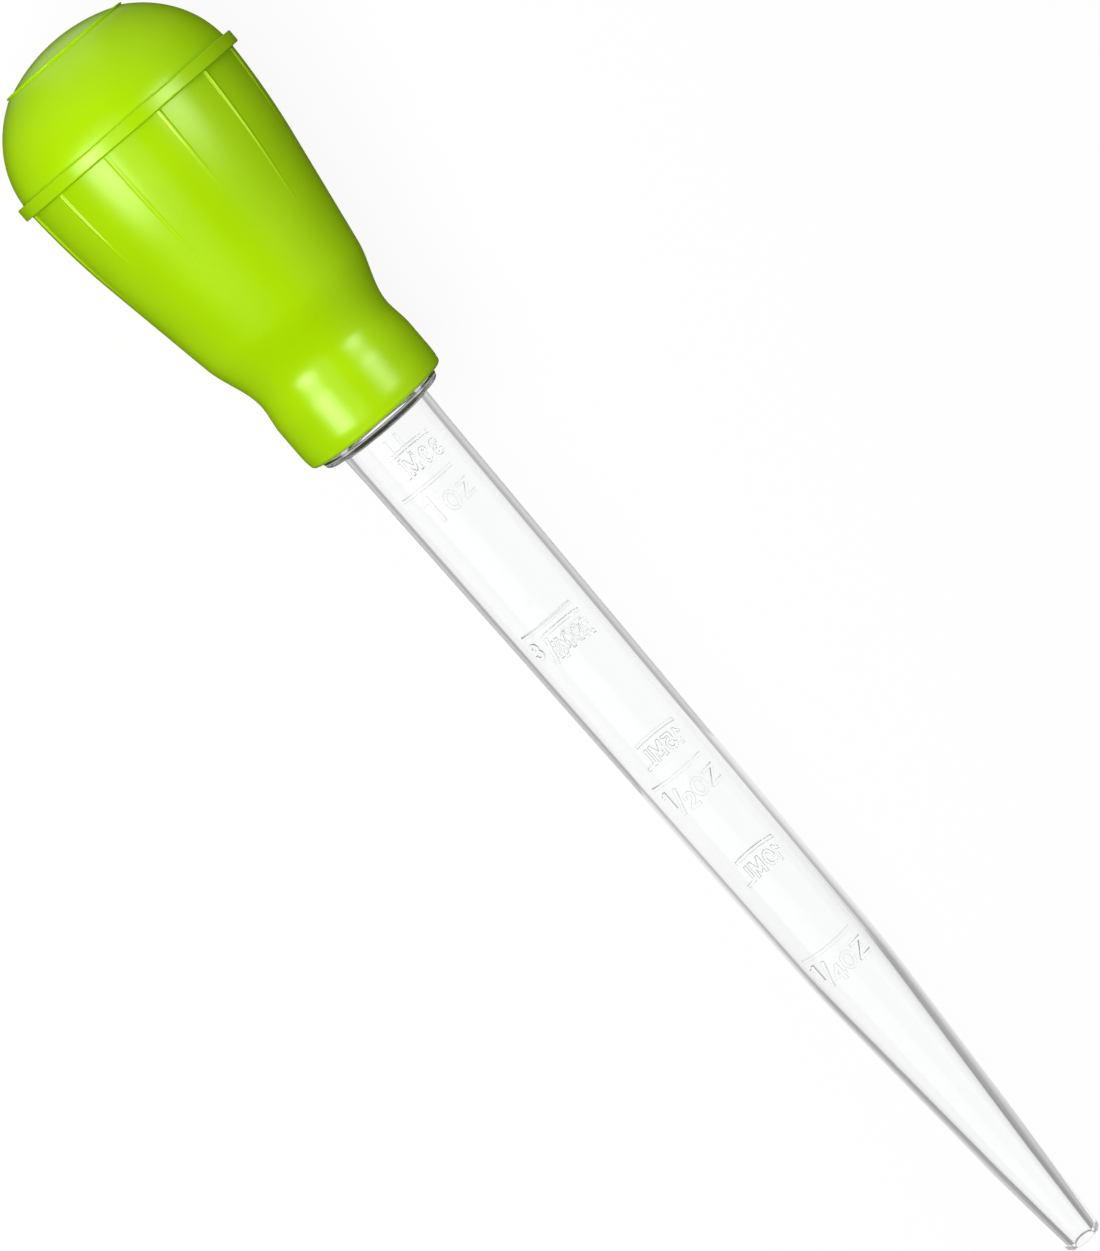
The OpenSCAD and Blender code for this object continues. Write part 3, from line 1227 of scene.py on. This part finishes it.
    def _busy(self, stations: Array) -> Array:
        """Which cells of the barrel a mark touches.

        Args:
            stations: where the barrel's rows are.

        Returns:
            True for each cell to be cut finer.
        """
        spots = np.arange(self.probes + 1) / self.probes
        down = stations[:-1, None] + np.diff(stations)[:, None] * spots
        angle = (np.arange(self.columns)[:, None] + spots) * 2 * math.pi / self.columns
        grid = np.broadcast_arrays(down[:, None, :, None], angle[None, :, None, :])
        return self.relief(*(part.copy() for part in grid)).max(axis=(2, 3)) > 0.0


@dataclass
class Lattice:
    """A turned grid in which chosen cells are cut finer, with no gap at their borders.

    Its last row and column are joined to the first. The side of a fine cell is cut into as many
    parts as fine says. Points are numbered by their place on the fine lattice.
    """

    rows: int
    columns: int
    fine: int
    numbers: dict[Pair, int] = field(default_factory=dict)

    def _number(self, i: float, j: float) -> int:
        """The point at a place on the fine lattice, made when first asked for."""
        key = (i % (self.rows * self.fine), j % (self.columns * self.fine))
        return self.numbers.setdefault(key, len(self.numbers))

    def faces(self, busy: Array) -> tuple[Array, list[list[int]]]:
        """Builds the grid.

        Args:
            busy: True for each cell that is cut finer.

        Returns:
            Each point's place on the fine lattice, and the points of each face.
        """
        n = self.fine
        faces: list[list[int]] = []
        for r in range(self.rows):
            for c in range(self.columns):
                i, j = r * n, c * n
                down, right = busy[(r + 1) % self.rows, c], busy[r, (c + 1) % self.columns]
                cut = (busy[r, c - 1], down, right, busy[r - 1, c])
                if busy[r, c]:
                    faces += [self._square(i + a, j + b, 1) for a in range(n) for b in range(n)]
                elif any(cut):
                    faces += self._border(i, j, cut)
                else:
                    faces.append(self._square(i, j, n))
        return np.array(list(self.numbers), float), faces

    def _square(self, i: int, j: int, side: int) -> list[int]:
        """The points of a square face."""
        spots = ((i, j), (i + side, j), (i + side, j + side), (i, j + side))
        return [self._number(*spot) for spot in spots]

    def _border(self, i: int, j: int, cut: tuple[bool, ...]) -> list[list[int]]:
        """The faces of a coarse cell beside fine ones: a fan about its middle.

        Args:
            i: the lattice row of its first corner.
            j: the lattice column of its first corner.
            cut: whether its left, lower, right and upper sides are cut.

        Returns:
            The points of each face.
        """
        n = self.fine
        middle = self._number(i + n / 2, j + n / 2)
        points = []
        for many, (down, right) in zip(cut, ((1, 0), (0, 1), (-1, 0), (0, -1))):
            for _ in range(n if many else 1):
                points.append(self._number(i, j))
                step = 1 if many else n
                i, j = i + down * step, j + right * step
        return [[middle, a, b] for a, b in zip(points, points[1:] + points[:1])]


# ---------- Studio ----------


@dataclass(frozen=True)
class SoftBox:
    """A lamp over the bulb, with its sizes and its distance in metres.

    Its turn is its angle from the top and its spread is how wide its light opens, both in
    degrees. A narrow spread gives its reflection soft sides. At level 1 its face is white.
    """

    name: str
    turn: float
    station: float
    size: Pair
    level: float
    spread: float = 180.0
    distance: float = 0.75

    def build(self, line: RestLine) -> bpy.types.Object:
        """Makes the lamp.

        Args:
            line: the pipette's line, which it faces.

        Returns:
            The lamp.
        """
        light = bpy.data.lights.new(self.name, "AREA")
        light.shape = "RECTANGLE"
        light.size, light.size_y = self.size
        half = math.radians(self.spread / 2)
        light.spread = 2 * half
        share = 1 - half / math.tan(half) if self.spread < 180.0 else 1.0
        light.energy = self.level * math.pi * self.size[0] * self.size[1] * share
        lamp = bpy.data.objects.new(self.name, light)
        lamp.visible_camera = False
        lamp.visible_transmission = False
        angle = math.radians(self.turn)
        along, away = line.way(1.0, 0.0), line.way(0.0, math.cos(angle), math.sin(angle))
        place = line.point(self.station) + away * self.distance
        lamp.matrix_world = placed(along, away.cross(along), away, place)
        bpy.context.scene.collection.objects.link(lamp)
        return lamp


@dataclass(frozen=True)
class Studio:
    """The table, the room, the lamps and the camera."""

    line: RestLine
    table_size: float = 8.0
    table_drop: float = 0.0001
    camera_foot: float = 19.87
    camera_height: float = 798.0
    camera_yaw: float = 8.8
    camera_roll: float = 49.3
    camera_side: float = -1.1
    lens: float = 122.3
    sensor: float = 36.0
    nearest: float = 0.05
    farthest: float = 50.0
    key: SoftBox = SoftBox("key", -21.0, 20.0, (0.60, 0.50), 6.0)
    strips: tuple[SoftBox, ...] = (
        SoftBox("strip_left", -43.0, 45.0, (0.34, 0.60), 14.5, 42.0),
        SoftBox("strip_right", 42.0, 15.0, (0.30, 0.60), 9.0, 40.0),
    )

    def build(self) -> None:
        """Makes everything round the pipette. The key lights it, and the strips only shine in it."""
        self.table()
        bpy.context.scene.world = PaleRoom().build()
        self.key.build(self.line).visible_glossy = False
        for strip in self.strips:
            strip.build(self.line).visible_diffuse = False
        self.camera()

    def table(self) -> None:
        """Makes the pale table that the pipette lies on."""
        half = self.table_size / 2
        corners = [(-half, -half, 0), (half, -half, 0), (half, half, 0), (-half, half, 0)]
        mesh = bpy.data.meshes.new("table_top")
        mesh.from_pydata(corners, [], [(0, 1, 2, 3)])
        mesh.materials.append(PaleTable().build())
        table = bpy.data.objects.new("table_top", mesh)
        table.location.z = -self.table_drop
        bpy.context.scene.collection.objects.link(table)

    def camera(self) -> None:
        """Makes the camera, over the bulb and turned towards the tip."""
        data = bpy.data.cameras.new("camera")
        data.sensor_width = self.sensor
        data.lens = self.lens
        data.clip_start = self.nearest
        data.clip_end = self.farthest
        yaw = math.radians(self.camera_yaw)
        roll = math.radians(self.camera_roll)
        back = self.line.way(-math.sin(yaw), math.cos(yaw))
        down = self.line.way(math.cos(yaw), math.sin(yaw))
        side = Vector((0.0, 1.0, 0.0))
        right = down * math.cos(roll) + side * math.sin(roll)
        up = side * math.cos(roll) - down * math.sin(roll)
        camera = bpy.data.objects.new("camera", data)
        place = self.line.point(self.camera_foot, self.camera_height, self.camera_side)
        camera.matrix_world = placed(right, up, back, place)
        bpy.context.scene.collection.objects.link(camera)
        bpy.context.scene.camera = camera


def placed(x: Vector, y: Vector, z: Vector, place: Vector) -> Matrix:
    """The matrix of an object with these axes at this place."""
    return Matrix.Translation(place) @ Matrix((x, y, z)).transposed().to_4x4()


def main() -> None:
    """Builds the pipette and its studio."""
    logging.basicConfig(level=logging.INFO, format="%(name)s: %(message)s")
    bpy.context.scene.view_settings.view_transform = "Standard"
    mounts = {mount["name"]: mount for mount in frame["record"]["mounts"]}
    line = RestLine.through(mounts["outlet"], OUTLET_STATION)
    SqueezeBulb(line).build()
    GraduatedTube(line).build()
    Studio(line).build()


if __name__ == "__main__":
    main()
